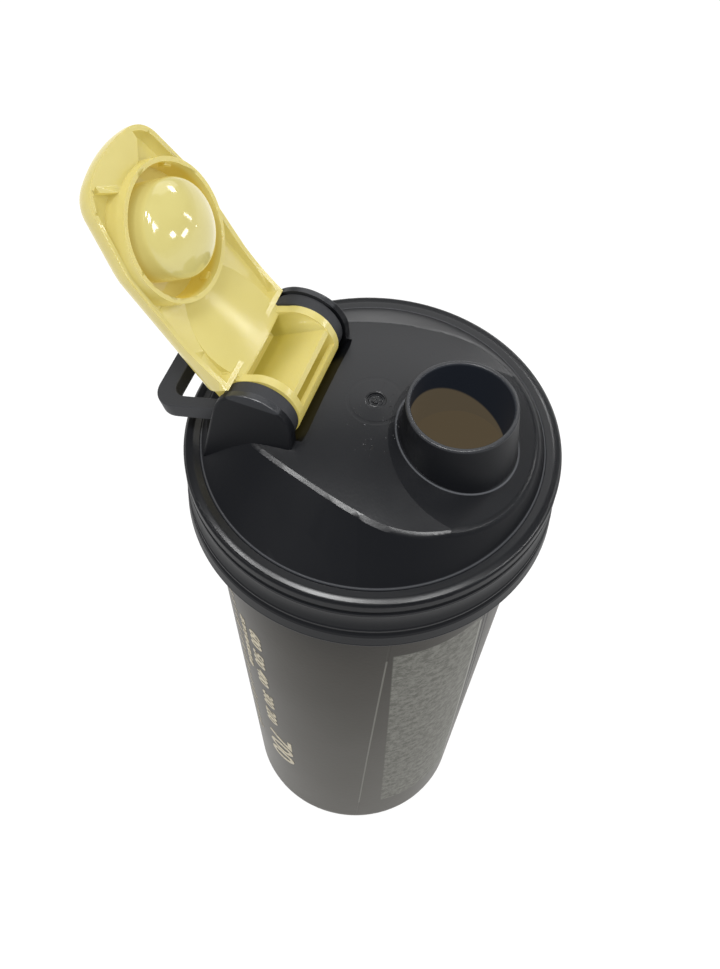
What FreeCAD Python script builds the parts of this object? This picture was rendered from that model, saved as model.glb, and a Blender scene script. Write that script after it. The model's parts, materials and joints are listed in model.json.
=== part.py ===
import FreeCAD, Part
import math
import os
import Sketcher
from FreeCAD import Placement, Rotation, Vector

# Protein shaker bottle: screw lid with a hinged flip cap and a carry loop.
# Z is up, the bottle stands on Z = 0 and its axis is X = Y = 0.
# The spout is on the -Y side; the hinge axis runs along X on the +Y side.

DIMENSIONS = (
    ("cup_base_radius", "33.7", "outer radius of the cup just above the foot"),
    ("cup_top_step", "0.5", "step from the top of the tapered wall out to the neck"),
    ("cup_wall", "1.8", "cup wall thickness"),
    ("cup_floor", "3.6", "height of the floor inside the cup"),
    ("foot_recess", "1.4", "push-up of the cup base"),
    ("foot_fillet", "7", "rounding between base and side"),
    ("neck_radius", "44.3", "outer radius of the cup neck"),
    ("neck_length", "15.6", "length of the straight neck"),
    ("thread_pitch", "5", "rise of the thread in one turn"),
    ("thread_depth", "1.7", "height of the thread ridges"),
    ("thread_turns", "1.1", "turns of thread on the cup and on the lid"),
    ("thread_start", "3", "height of the first thread over the foot of the neck"),
    ("thread_room", "2.9", "space between the cup neck and the skirt, for the threads"),
    ("lid_level", "185", "height of the widest circle of the lid"),
    ("flange_width", "4.7", "distance from the cup neck out to the edge of the lid flange"),
    ("flange_ledge", "4.6", "width of the flange outside the domed top"),
    ("flange_top", "1.7", "height of the top of the flange over the flange level"),
    ("lid_wall", "2", "lid wall thickness"),
    ("skirt_length", "19.6", "skirt length below the flange"),
    ("rim_rise", "2.2", "height of the foot of the domed top over the flange level"),
    ("dome_height", "19", "height of the lid top over the flange level"),
    ("dome_sphere", "114", "radius of the gentle crown of the lid top"),
    ("dome_front", "12.8", "distance of the centre of the wide end of the lid top from the bottle axis"),
    ("dome_side", "17.9", "run of the side slope at the wide end of the lid top"),
    ("dome_rear", "12", "distance of the centre of the narrow end of the lid top from the bottle axis"),
    ("dome_rear_side", "25.4", "run of the side slope at the narrow end of the lid top"),
    ("seat_slope", "15", "tilt of the seat around the spout, in degrees"),
    ("seat_height", "14.3", "height of that seat at the spout axis"),
    ("crest_fillet", "2.6", "rounding of the crest of the lid"),
    ("spout_offset", "22", "distance of the spout axis from the bottle axis"),
    ("spout_top", "27.9", "height of the spout rim over the flange level"),
    ("spout_rim_radius", "13.9", "outer radius of the spout at its rim"),
    ("spout_foot_radius", "15.4", "outer radius of the spout at its foot"),
    ("spout_bore_radius", "12.7", "radius of the pouring bore"),
    ("spout_depth", "19.4", "length of the spout tube"),
    ("hinge_offset", "25.2", "distance of the hinge axis from the bottle axis"),
    ("hinge_height", "19.4", "height of the hinge axis over the flange level"),
    ("pin_radius", "3.4", "radius of the hinge trunnions"),
    ("pin_fit", "0.06", "radial running fit on the trunnions"),
    ("gap", "0.3", "free gap between pieces that move apart"),
    ("barrel_radius", "10.2", "radius of the barrel of the flip cap"),
    ("barrel_half", "12.9", "half width of that barrel"),
    ("cheek", "2.2", "thickness of the cheeks of the barrel"),
    ("barrel_step", "8.7", "distance from the hinge axis to the end of the tongue at the pocket"),
    ("pocket_roof", "6.2", "height of the roof of the pocket at the tongue over the hinge axis"),
    ("barrel_strip", "3.2", "distance from the hinge axis to the front strip of the barrel"),
    ("barrel_web", "1.3", "thickness of the web across the pocket"),
    ("eye_radius", "9.9", "radius of the eyes of the carry loop"),
    ("eye_width", "3.6", "thickness of the eyes of the carry loop"),
    ("loop_reach", "31.2", "distance from the hinge axis to the end of the loop"),
    ("loop_bar", "5.2", "width of the cross bar of the loop"),
    ("loop_thick", "4.4", "thickness of the loop"),
    ("loop_droop", "20", "droop of the loop below level, in degrees"),
    ("ear_radius", "10.5", "radius of the arch of the lid ears"),
    ("ear_top", "1.9", "thickness of an ear at the top of its arch"),
    ("ear_foot", "4.6", "thickness of an ear at its foot"),
    ("ear_reach", "13.4", "distance from the hinge axis back to the foot of an ear"),
    ("trough_radius", "11.2", "radius of the trough below the barrel"),
    ("trough_front", "12.5", "distance of the front wall of the trough from the bottle axis"),
    ("cap_open", "121.7", "opening angle of the flip cap, in degrees"),
    ("cap_reach", "72.1", "distance from the hinge axis to the tip of the cap"),
    ("cap_start", "10.9", "distance from the hinge axis to the wide part of the cap"),
    ("cap_half", "17.2", "half width of the cap near the hinge"),
    ("cap_half_wide", "18.4", "half width of the cap beside the ring"),
    ("cap_back", "11.3", "height of the back of the cap over the hinge axis"),
    ("cap_rim", "3.8", "height of the rim of the cap over the hinge axis"),
    ("cap_wall", "1.3", "side wall thickness of the cap"),
    ("cap_floor", "1.5", "thickness of the back of the cap above the plug"),
    ("deck_deep", "7", "height of the deck inside the cap beside the ring over the hinge axis"),
    ("deck_shallow", "4.5", "height of that deck next to the barrel over the hinge axis"),
    ("cap_fillet", "7", "rounding of the back of the cap"),
    ("ring_radius", "17", "outer radius of the ring inside the cap"),
    ("ring_wall", "1.2", "wall thickness of that ring"),
    ("ring_edge", "1.1", "height of the edge of the ring over the hinge axis"),
    ("plug_flange", "1", "thickness of the flange of the spout plug"),
    ("plug_wall", "1.3", "wall thickness of the spout plug"),
    ("plug_shift", "0.55", "distance of the plug cup from the ring axis towards the tip of the cap"),
    ("plug_radius", "11.8", "outer radius of the plug cup"),
    ("plug_depth", "5.5", "depth of the plug crown below the hinge axis"),
    ("plug_round", "3.2", "rounding between the side and the crown of the plug"),
    ("seal_inset", "3.4", "distance from the outside of the cup neck in to the hole of the seal ring"),
    ("seal_width", "5", "width of the seal ring"),
    ("seal_thick", "2", "thickness of the seal ring"),
    ("seal_drop", "1.2", "distance of the top of the seal ring below the flange level"),
    ("ball_radius", "24", "outer radius of the mixing ball"),
    ("ball_wire", "2.2", "wire diameter of the mixing ball"),
    ("ball_turns", "6.5", "turns of wire in the mixing ball"),
)


# A skin across the sloping sides of the lid top is this much wider than it is thick.
SLOPE_SKIN = 1.1

LID_RADIUS = "(Dimensions.neck_radius + Dimensions.flange_width)"
HINGE_LEVEL = "Dimensions.lid_level + Dimensions.hinge_height"
RING_PLACE = "-(Dimensions.hinge_offset + Dimensions.spout_offset)"


def build_sheet(doc):
    """Put the driving dimensions in a sheet and return them by name."""
    sheet = doc.addObject("Spreadsheet::Sheet", "Dimensions")
    values = {}
    for row, (name, text, note) in enumerate(DIMENSIONS, start=1):
        sheet.set("A%d" % row, name)
        sheet.set("B%d" % row, text)
        sheet.set("C%d" % row, note)
        sheet.setAlias("B%d" % row, name)
        values[name] = float(text)
    doc.recompute()
    add_derived(values)
    return values


def add_derived(d):
    """Sizes that follow from the driving dimensions and their clearances."""
    d["cup_top_radius"] = d["neck_radius"] - d["cup_top_step"]
    d["cup_top"] = d["lid_level"] - d["seal_drop"] - d["seal_thick"] - d["gap"]
    d["lid_radius"] = d["neck_radius"] + d["flange_width"]
    d["skirt_bore"] = d["neck_radius"] + d["thread_room"]
    d["rim_circle"] = d["lid_radius"] - d["flange_ledge"]
    d["seal_inner"] = d["neck_radius"] - d["seal_inset"]
    d["hinge_level"] = d["lid_level"] + d["hinge_height"]
    d["ear_inside"] = d["barrel_half"] + d["eye_width"] + 2 * d["gap"]
    d["ring_place"] = -(d["hinge_offset"] + d["spout_offset"])


def tie(item, formulas):
    """Tie properties of a feature to expressions on the sheet."""
    for prop, formula in formulas.items():
        item.setExpression(prop, formula)


def new_body(doc, label):
    body = doc.addObject("PartDesign::Body", "Body_" + label)
    body.Label = label
    return body


def new_sketch(body, name, role, offset=None):
    """Sketch on an origin plane; offset is an expression for its distance."""
    plane = [item for item in body.Origin.OriginFeatures if item.Role == role][0]
    sketch = body.newObject("Sketcher::SketchObject", name)
    sketch.AttachmentSupport = [(plane, "")]
    sketch.MapMode = "FlatFace"
    if offset:
        sketch.setExpression("AttachmentOffset.Base.z", offset)
    sketch.Visibility = False
    return sketch


def draw(sketch, start, moves):
    """Closed outline: each move is an end point, or a middle and an end point."""
    first = sketch.GeometryCount
    place = Vector(start[0], start[1], 0)
    for move in moves:
        if len(move) == 2:
            end = Vector(move[0], move[1], 0)
            sketch.addGeometry(Part.LineSegment(place, end), False)
        else:
            middle = Vector(move[0], move[1], 0)
            end = Vector(move[2], move[3], 0)
            sketch.addGeometry(Part.Arc(place, middle, end), False)
        place = end
    last = sketch.GeometryCount - 1
    joins = []
    for number in range(first, last + 1):
        follower = number + 1 if number < last else first
        joins.append(Sketcher.Constraint("Coincident", number, end_of(sketch, number),
                                         follower, start_of(sketch, follower)))
    sketch.addConstraint(joins)


def is_turned(arc):
    """True when the stored arc runs clockwise, so that its ends are swapped."""
    return isinstance(arc, Part.ArcOfCircle) and arc.Axis.z < 0


def start_of(sketch, number):
    return 2 if is_turned(sketch.Geometry[number]) else 1


def end_of(sketch, number):
    return 1 if is_turned(sketch.Geometry[number]) else 2


def draw_circle(sketch, x, y, radius, formula):
    number = sketch.addGeometry(Part.Circle(Vector(x, y, 0), Vector(0, 0, 1), radius), False)
    rule = sketch.addConstraint(Sketcher.Constraint("Radius", number, radius))
    sketch.setExpression("Constraints[%d]" % rule, formula)


def turn(body, name, sketch, kind="PartDesign::Revolution"):
    feature = body.newObject(kind, name)
    feature.Profile = sketch
    feature.ReferenceAxis = (sketch, ["V_Axis"])
    feature.Angle = 360
    return feature


def pad(body, name, sketch, formula, midplane=False, kind="PartDesign::Pad", flip=False):
    feature = body.newObject(kind, name)
    feature.Profile = sketch
    feature.Midplane = midplane
    feature.Reversed = flip
    feature.setExpression("Length", formula)
    return feature


def round_edges(body, name, base, formula, size, wanted):
    """Round those edges of the feature whose middle point is wanted."""
    names = []
    for number, edge in enumerate(base.Shape.Edges, start=1):
        span = edge.ParameterRange
        if wanted(edge.valueAt((span[0] + span[1]) / 2), edge):
            names.append("Edge%d" % number)
    feature = body.newObject("PartDesign::Fillet", name)
    feature.Base = (base, names)
    feature.Radius = size
    feature.setExpression("Radius", formula)
    return feature


def add_thread(body, d, name, root, crest, start):
    """Helical ridge with sloping flanks, from its root to its crest radius."""
    foot_half = 1.1
    crest_half = 0.5
    sketch = new_sketch(body, name + "Section", "XZ_Plane")
    draw(sketch, (root, start - foot_half), [
        (crest, start - crest_half),
        (crest, start + crest_half),
        (root, start + foot_half),
        (root, start - foot_half),
    ])
    ridge = body.newObject("PartDesign::AdditiveHelix", name)
    ridge.Profile = sketch
    ridge.ReferenceAxis = (sketch, ["V_Axis"])
    ridge.Mode = 0
    ridge.Pitch = d["thread_pitch"]
    ridge.Height = d["thread_pitch"] * d["thread_turns"]
    tie(ridge, {"Pitch": "Dimensions.thread_pitch",
                "Height": "Dimensions.thread_pitch * Dimensions.thread_turns"})
    return ridge


def build_cup(doc, d):
    """Tapered cup with a pushed-up base, a straight neck and a thread."""
    body = new_body(doc, "cup")
    wall = d["cup_wall"]
    top = d["cup_top"]
    neck = top - d["neck_length"]
    step = neck - 1.5
    base = d["cup_base_radius"]
    foot_width = 3
    foot_slope = 2
    soft = d["foot_fillet"]
    corner = soft * (1 - math.sqrt(0.5))
    floor = d["cup_floor"]
    inside = soft - wall
    inner_corner = inside * (1 - math.sqrt(0.5))
    lip = 0.8
    lip_corner = lip * (1 - math.sqrt(0.5))
    sketch = new_sketch(body, "CupProfile", "XZ_Plane")
    draw(sketch, (0, d["foot_recess"]), [
        (base - soft - foot_width - foot_slope, d["foot_recess"]),
        (base - soft - foot_width, 0),
        (base - soft, 0),
        (base - corner, corner, base, soft),
        (d["cup_top_radius"], step),
        (d["neck_radius"], neck),
        (d["neck_radius"], top - lip),
        (d["neck_radius"] - lip_corner, top - lip_corner, d["neck_radius"] - lip, top),
        (d["neck_radius"] - wall, top),
        (d["neck_radius"] - wall, neck),
        (d["cup_top_radius"] - wall, step),
        (base - wall, floor + inside),
        (base - wall - inner_corner, floor + inner_corner, base - wall - inside, floor),
        (0, floor),
        (0, d["foot_recess"]),
    ])
    turn(body, "CupWall", sketch)
    crest = d["neck_radius"] + d["thread_depth"]
    root = d["neck_radius"] - 0.6
    add_thread(body, d, "CupThread", root, crest, neck + d["thread_start"])
    return body


def build_seal(doc, d):
    """Flat silicone ring between the cup rim and the lid."""
    body = new_body(doc, "seal_ring")
    high = d["lid_level"] - d["seal_drop"]
    low = high - d["seal_thick"]
    inner = d["seal_inner"]
    outer = inner + d["seal_width"]
    edge = 0.4
    sketch = new_sketch(body, "SealProfile", "XZ_Plane")
    draw(sketch, (inner, low + edge), [
        (inner + edge, low),
        (outer - edge, low),
        (outer, low + edge),
        (outer, high - edge),
        (outer - edge, high),
        (inner + edge, high),
        (inner, high - edge),
        (inner, low + edge),
    ])
    turn(body, "SealRing", sketch)
    return body


def egg_moves(front, front_radius, rear, rear_radius):
    """Start and moves of an egg outline of two arcs and two straight sides."""
    lean = math.asin((front_radius - rear_radius) / (rear - front))
    out = math.cos(lean)
    back = math.sin(lean)
    near = (front_radius * out, front + front_radius * back)
    far = (rear_radius * out, rear + rear_radius * back)
    moves = [far,
             (0, rear + rear_radius, -far[0], far[1]),
             (-near[0], near[1]),
             (0, front - front_radius, near[0], near[1])]
    return near, moves


def rim_moves(radius):
    """Circle in four arcs that face the four pieces of the egg outline."""
    def at(angle):
        return (radius * math.cos(math.radians(angle)), radius * math.sin(math.radians(angle)))
    moves = [at(15) + at(45), at(90) + at(135), at(165) + at(195), at(270) + at(-15)]
    return at(-15), moves


def build_crown(doc, d, label, skin):
    """Domed top of the lid, drawn in by the thickness of a skin."""
    body = new_body(doc, label)
    level = d["lid_level"]
    lean_skin = skin * SLOPE_SKIN
    foot = new_sketch(body, label + "Foot", "XY_Plane",
                      "Dimensions.lid_level + Dimensions.rim_rise")
    start, moves = rim_moves(d["rim_circle"] - lean_skin)
    draw(foot, start, moves)
    peak = new_sketch(body, label + "Peak", "XY_Plane",
                      "Dimensions.lid_level + Dimensions.dome_height + 1")
    wide = d["rim_circle"] - d["dome_side"] - lean_skin
    narrow = d["rim_circle"] - d["dome_rear_side"] - lean_skin
    start, moves = egg_moves(-d["dome_front"], wide, d["dome_rear"], narrow)
    draw(peak, start, moves)
    loft = body.newObject("PartDesign::AdditiveLoft", label + "Sides")
    loft.Profile = foot
    loft.Sections = [peak]
    loft.Ruled = True
    apex = level + d["dome_height"] - skin
    reach = d["lid_radius"] + 1
    above = apex + d["hinge_height"]
    sphere = d["dome_sphere"]

    def drop(out):
        return sphere - math.sqrt(sphere ** 2 - out ** 2)

    crown = new_sketch(body, label + "Crown", "XZ_Plane")
    draw(crown, (0, apex), [
        (reach / 2, apex - drop(reach / 2), reach, apex - drop(reach)),
        (reach, above),
        (0, above),
        (0, apex),
    ])
    turn(body, label + "CrownCut", crown, "PartDesign::Groove")
    tilt = math.tan(math.radians(d["seat_slope"]))
    seat_y = -d["spout_offset"]
    seat_z = level + d["seat_height"] - skin / math.cos(math.radians(d["seat_slope"]))
    seat_end = d["hinge_offset"]
    seat = new_sketch(body, label + "Seat", "YZ_Plane")
    draw(seat, (-reach, seat_z + tilt * (-reach - seat_y)), [
        (seat_end, seat_z + tilt * (seat_end - seat_y)),
        (seat_end, above),
        (-reach, above),
        (-reach, seat_z + tilt * (-reach - seat_y)),
    ])
    cut = pad(body, label + "SeatCut", seat, "4 * " + LID_RADIUS, True, "PartDesign::Pocket")
    doc.recompute()
    if skin == 0:
        def on_crest(point, edge):
            high = point.z > level + d["rim_rise"] + 2
            return high and point.y < 20 and edge.BoundBox.DiagonalLength > 12 and not inner_line(edge)

        def inner_line(edge):
            middle = edge.valueAt(sum(edge.ParameterRange) / 2)
            return abs(middle.x) < 12 and middle.y > -30

        round_edges(body, label + "Crest", cut, "Dimensions.crest_fillet", d["crest_fillet"], on_crest)
    return body


def trough_moves(d, skin):
    """Side view of the trough between the ears, grown by a skin."""
    level = d["lid_level"]
    centre = (d["hinge_offset"], d["hinge_level"])
    radius = d["trough_radius"] + skin
    front = d["trough_front"] - skin
    above = d["hinge_level"] + 3 * d["trough_radius"]
    reach = centre[0] - front
    lean = math.acos(reach / radius) if reach < radius else 0
    entry = (front, centre[1] - radius * math.sin(lean) - 2)
    low = on_circle(centre, radius, math.radians(215))
    middle = on_circle(centre, radius, math.radians(248))
    leave = on_circle(centre, radius, math.radians(280))
    sill = level + d["rim_rise"] + 0.4 - skin
    start = (front, above)
    moves = [entry,
             low,
             middle + leave,
             (d["lid_radius"] - 4, sill),
             (d["lid_radius"] + skin, sill),
             (d["lid_radius"] + skin, above),
             start]
    return start, moves


def build_trough(doc, d, label, skin):
    body = new_body(doc, label)
    sketch = new_sketch(body, label + "Profile", "YZ_Plane")
    start, moves = trough_moves(d, skin)
    draw(sketch, start, moves)
    half = "(Dimensions.barrel_half + 2 * Dimensions.gap + Dimensions.eye_width + Dimensions.gap"
    pad(body, label + "Block", sketch, half + " + %g) * 2" % (skin * 1.8), True)
    return body


def build_skirt(doc, d):
    """Flange, ribbed skirt with its inner lip, and the thread of the lid."""
    body = new_body(doc, "lid_skirt")
    level = d["lid_level"]
    rim = d["lid_radius"]
    bottom = level - d["skirt_length"]
    bore = d["skirt_bore"]
    lip = d["seal_inner"] - d["gap"]
    lip_low = level - 7.5
    groove = level - d["seal_drop"] + d["gap"]
    inner = lip - 1.6
    rise = d["rim_rise"]
    top = d["flange_top"]
    sketch = new_sketch(body, "SkirtProfile", "XZ_Plane")
    draw(sketch, (inner, level), [
        (d["rim_circle"] - d["lid_wall"] * SLOPE_SKIN, level + rise),
        (d["rim_circle"] + 0.15, level + rise),
        (d["rim_circle"] + 0.55, level + top),
        (rim - 0.9, level + top),
        (rim - 0.26, level + top - 0.26, rim, level + top - 0.9),
        (rim - 0.05, level - 1.5),
        (rim - 0.7, level - 2.1),
        (rim - 0.7, level - 2.5),
        (rim - 0.15, level - 3.1),
        (rim - 0.1, level - 3.9),
        (rim - 0.75, level - 7.4, rim - 0.35, level - 10.9),
        (rim - 0.1, level - 11.4),
        (rim - 0.15, level - 12),
        (rim - 0.65, level - 12.7),
        (rim - 0.6, level - 13.3),
        (rim - 0.15, level - 14),
        (rim + 0.05, level - 14.8),
        (rim + 0.1, bottom + 1.2),
        (rim - 0.1, bottom + 0.3, rim - 0.7, bottom),
        (bore, bottom),
        (bore, groove),
        (lip, groove),
        (lip, lip_low),
        (inner, lip_low),
        (inner, level),
    ])
    turn(body, "SkirtWall", sketch)
    crest = bore - d["thread_depth"] - 0.5
    root = bore + 0.5
    start = d["cup_top"] - d["neck_length"] + d["thread_start"] + d["thread_pitch"] / 2
    add_thread(body, d, "LidThread", root, crest, start)
    return body


def build_ears(doc, d):
    """Two ears that carry the hinge trunnions, with leaning outer faces."""
    body = new_body(doc, "lid_ears")
    level = d["lid_level"]
    axis_y = d["hinge_offset"]
    axis_z = d["hinge_level"]
    radius = d["ear_radius"]
    inside = d["ear_inside"]
    top = inside + d["ear_top"]
    foot = inside + d["ear_foot"]
    foot_y = axis_y + d["ear_reach"]
    foot_z = level + d["rim_rise"]
    aim = math.atan2(foot_z - axis_z, foot_y - axis_y)
    rear = aim + math.acos(radius / math.hypot(foot_y - axis_y, foot_z - axis_z))
    front_y = axis_y - radius - 0.6
    front_z = level + 11
    side = new_sketch(body, "EarSide", "YZ_Plane")
    draw(side, (front_y, front_z), [
        (axis_y - radius, axis_z),
        (axis_y, axis_z + radius) + on_circle((axis_y, axis_z), radius, rear),
        (foot_y, foot_z),
        (foot_y - 1.5, foot_z),
        (axis_y + 1, level + 7),
        (front_y, front_z),
    ])
    pad(body, "EarBlock", side, "2 * (Dimensions.barrel_half + Dimensions.eye_width"
        " + 2 * Dimensions.gap + Dimensions.ear_foot)", True)
    lean = new_sketch(body, "EarLean", "XZ_Plane")
    high = axis_z + radius
    above = high + 5
    low = level + 4
    for way in (1, -1):
        draw(lean, (way * top, above), [
            (way * top, high - 1),
            (way * foot, low),
            (way * (foot + 6), low),
            (way * (foot + 6), above),
            (way * top, above),
        ])
    pad(body, "EarLeanCut", lean, "6 * " + LID_RADIUS, True, "PartDesign::Pocket")
    between = new_sketch(body, "EarGap", "XZ_Plane")
    draw(between, (-inside, level - 5), [
        (inside, level - 5),
        (inside, above),
        (-inside, above),
        (-inside, level - 5),
    ])
    cut = pad(body, "EarGapCut", between, "6 * " + LID_RADIUS, True, "PartDesign::Pocket")
    doc.recompute()

    def on_arch(point, edge):
        outer = abs(point.x) > inside + 0.5
        return outer and point.z > axis_z - 6 and edge.Length > 8

    round_edges(body, "EarRound", cut, "0.7", 0.7, on_arch)
    return body


def build_spout(doc, d):
    """Blank of the spout tube with its rounded rim; the bore is cut later."""
    body = new_body(doc, "lid_spout")
    top = d["lid_level"] + d["spout_top"]
    low = top - d["spout_depth"]
    rim = d["spout_rim_radius"]
    bore = d["spout_bore_radius"]
    outer = 0.5
    outer_corner = outer * (1 - math.sqrt(0.5))
    inner = 0.4
    inner_corner = inner * (1 - math.sqrt(0.5))
    sketch = new_sketch(body, "SpoutProfile", "XZ_Plane")
    draw(sketch, (0, low), [
        (d["spout_foot_radius"] + 0.3, low),
        (rim, top - outer),
        (rim - outer_corner, top - outer_corner, rim - outer, top),
        (bore + inner, top),
        (bore + inner_corner, top - inner_corner, bore, top - inner),
        (0, top - inner),
        (0, low),
    ])
    turn(body, "SpoutBlank", sketch)
    tie(body, {"Placement.Base.y": "-Dimensions.spout_offset"})
    return body


def add_primitive(doc, kind, name, base, sizes, axis=None):
    """Part primitive with sizes and place tied to the sheet."""
    item = doc.addObject("Part::" + kind, name)
    if axis:
        item.Placement = Placement(Vector(), Rotation(Vector(0, 0, 1), axis))
    tie(item, sizes)
    tie(item, {"Placement.Base.x": base[0], "Placement.Base.y": base[1], "Placement.Base.z": base[2]})
    return item


def combine(doc, kind, name, items):
    item = doc.addObject("Part::" + kind, name)
    if kind == "Cut":
        item.Base = items[0]
        item.Tool = items[1]
    else:
        item.Shapes = items
    return item


def build_lid(doc, d):
    """Lid: domed top, flange and skirt, spout, ears and trunnions."""
    crown = build_crown(doc, d, "lid_crown", 0)
    hollow = build_crown(doc, d, "lid_hollow", d["lid_wall"])
    guard = build_trough(doc, d, "trough_guard", d["lid_wall"])
    trough = build_trough(doc, d, "trough", 0)
    skirt = build_skirt(doc, d)
    ears = build_ears(doc, d)
    spout = build_spout(doc, d)
    bore = add_primitive(doc, "Cylinder", "SpoutBore",
                         ("0", "-Dimensions.spout_offset", "Dimensions.lid_level - 5"),
                         {"Radius": "Dimensions.spout_bore_radius",
                          "Height": "Dimensions.spout_top + 10"})
    dome_top = "Dimensions.lid_level + Dimensions.dome_height"
    dimple = add_primitive(doc, "Cylinder", "GateDimple", ("0", "0", dome_top + " - 0.4"),
                           {"Radius": "2.3", "Height": "3"})
    nub = add_primitive(doc, "Cylinder", "GateNub", ("0", "0", dome_top + " - 1.5"),
                        {"Radius": "0.9", "Height": "1.4"})
    start = "Dimensions.barrel_half - Dimensions.cheek + 0.4"
    length = "Dimensions.eye_width + 2 * Dimensions.gap + Dimensions.cheek + 0.6"
    pins = []
    for name, sign in (("TrunnionRight", "1"), ("TrunnionLeft", "-1")):
        axis = Vector(float(sign), 0, 0)
        place = (sign + " * (" + start + ")", "Dimensions.hinge_offset", HINGE_LEVEL)
        pins.append(add_primitive(doc, "Cylinder", name, place,
                                  {"Radius": "Dimensions.pin_radius", "Height": length}, axis))
    cavity = combine(doc, "Cut", "Cavity", (hollow, guard))
    solid = combine(doc, "Cut", "HollowCrown", (crown, cavity))
    solid = combine(doc, "Cut", "TroughCut", (solid, trough))
    solid = combine(doc, "MultiFuse", "LidPieces", [solid, skirt, ears, spout])
    drills = combine(doc, "MultiFuse", "LidDrills", [bore, dimple])
    solid = combine(doc, "Cut", "LidDrilled", (solid, drills))
    solid = combine(doc, "MultiFuse", "Lid", [solid, nub] + pins)
    solid.Refine = False
    solid.Label = "lid"
    return solid


def on_circle(centre, radius, angle):
    return (centre[0] + radius * math.cos(angle), centre[1] + radius * math.sin(angle))


def cap_outline(d, inset):
    """Plan of the cap, drawn in by an inset: all lines and arcs run on smoothly."""
    ring = (0, -(d["hinge_offset"] + d["spout_offset"]))
    big = d["cap_half_wide"] - inset
    nose_x = d["cap_half_wide"] - 11.9
    nose = (nose_x, -d["cap_reach"] + 10.1)
    small = 9 - inset
    start = (d["cap_half"] - inset, -d["cap_start"] - inset)
    away = math.hypot(start[0] - ring[0], start[1] - ring[1])
    entry = math.atan2(start[1] - ring[1], start[0] - ring[0]) - math.acos(big / away)
    apart = math.hypot(nose[0], nose[1] - ring[1])
    heading = math.atan2(nose[1] - ring[1], nose[0])
    leave = heading + math.acos((big - small) / apart)
    tip_radius = 30 - inset
    tip = (0, nose[1] + math.sqrt((tip_radius - small) ** 2 - nose_x ** 2))
    turn_in = math.atan2(nose[1] - tip[1], nose[0] - tip[0])
    right = [on_circle(ring, big, entry),
             on_circle(ring, big, (entry + leave) / 2),
             on_circle(ring, big, leave),
             on_circle(nose, small, leave),
             on_circle(nose, small, (leave + turn_in) / 2),
             on_circle(nose, small, turn_in)]
    left = [(-x, y) for x, y in reversed(right)]
    moves = [right[0],
             right[1] + right[2],
             right[3],
             right[4] + right[5],
             (0, tip[1] - tip_radius) + left[0],
             left[1] + left[2],
             left[3],
             left[4] + left[5],
             (-start[0], start[1]),
             start]
    return start, moves


def build_cap_shell(doc, d):
    """Outside of the flip cap: closed position, hinge axis on the local X axis."""
    body = new_body(doc, "cap_shell")
    back = d["cap_back"]
    rim = d["cap_rim"]
    plan = new_sketch(body, "CapPlan", "XY_Plane", "-Dimensions.barrel_radius")
    start, moves = cap_outline(d, 0)
    draw(plan, start, moves)
    pad(body, "CapBlank", plan, "Dimensions.barrel_radius + Dimensions.cap_back")
    near = 5 - d["cap_start"]
    far = -d["cap_reach"] - 5
    low = -3 * d["barrel_radius"]
    under = new_sketch(body, "CapUnder", "YZ_Plane")
    draw(under, (5, low), [
        (5, -2),
        (3 + near, -1.6),
        (-14.5, 2.1, -26, rim),
        (far, rim),
        (far, low),
        (5, low),
    ])
    cut = pad(body, "CapUnderCut", under, "6 * Dimensions.cap_half", True, "PartDesign::Pocket")
    doc.recompute()

    def on_back(point, edge):
        return point.z > back - 0.1 and point.y < -d["cap_start"] - 1

    round_edges(body, "CapPillow", cut, "Dimensions.cap_fillet", d["cap_fillet"], on_back)
    return body


def build_cap_hollow(doc, d):
    """Inside of the flip cap."""
    body = new_body(doc, "cap_hollow")
    plan = new_sketch(body, "HollowPlan", "XY_Plane", "-3 * Dimensions.barrel_radius")
    start, moves = cap_outline(d, d["cap_wall"])
    draw(plan, start, moves)
    blank = pad(body, "HollowBlank", plan, "3 * Dimensions.barrel_radius + Dimensions.cap_back"
                " - Dimensions.cap_floor")
    doc.recompute()
    top = d["cap_back"] - d["cap_floor"]

    def on_top(point, edge):
        return point.z > top - 0.1

    round_edges(body, "HollowPillow", blank, "Dimensions.cap_fillet - Dimensions.cap_wall",
                d["cap_fillet"] - d["cap_wall"], on_top)
    return body


def build_cap_deck(doc, d):
    """Deck beside the ring, which rises towards the barrel."""
    body = new_body(doc, "cap_deck")
    top = d["cap_back"] - 0.5
    near = 1 - d["cap_start"]
    far = -d["cap_reach"]
    sketch = new_sketch(body, "DeckSide", "YZ_Plane")
    draw(sketch, (near, top), [
        (near, d["deck_shallow"]),
        (2 * near, d["deck_shallow"] + 0.5),
        (3.6 * near, d["deck_deep"]),
        (far, d["deck_deep"]),
        (far, top),
        (near, top),
    ])
    pad(body, "DeckBlock", sketch, "2 * Dimensions.cap_half_wide", True)
    return body


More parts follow.
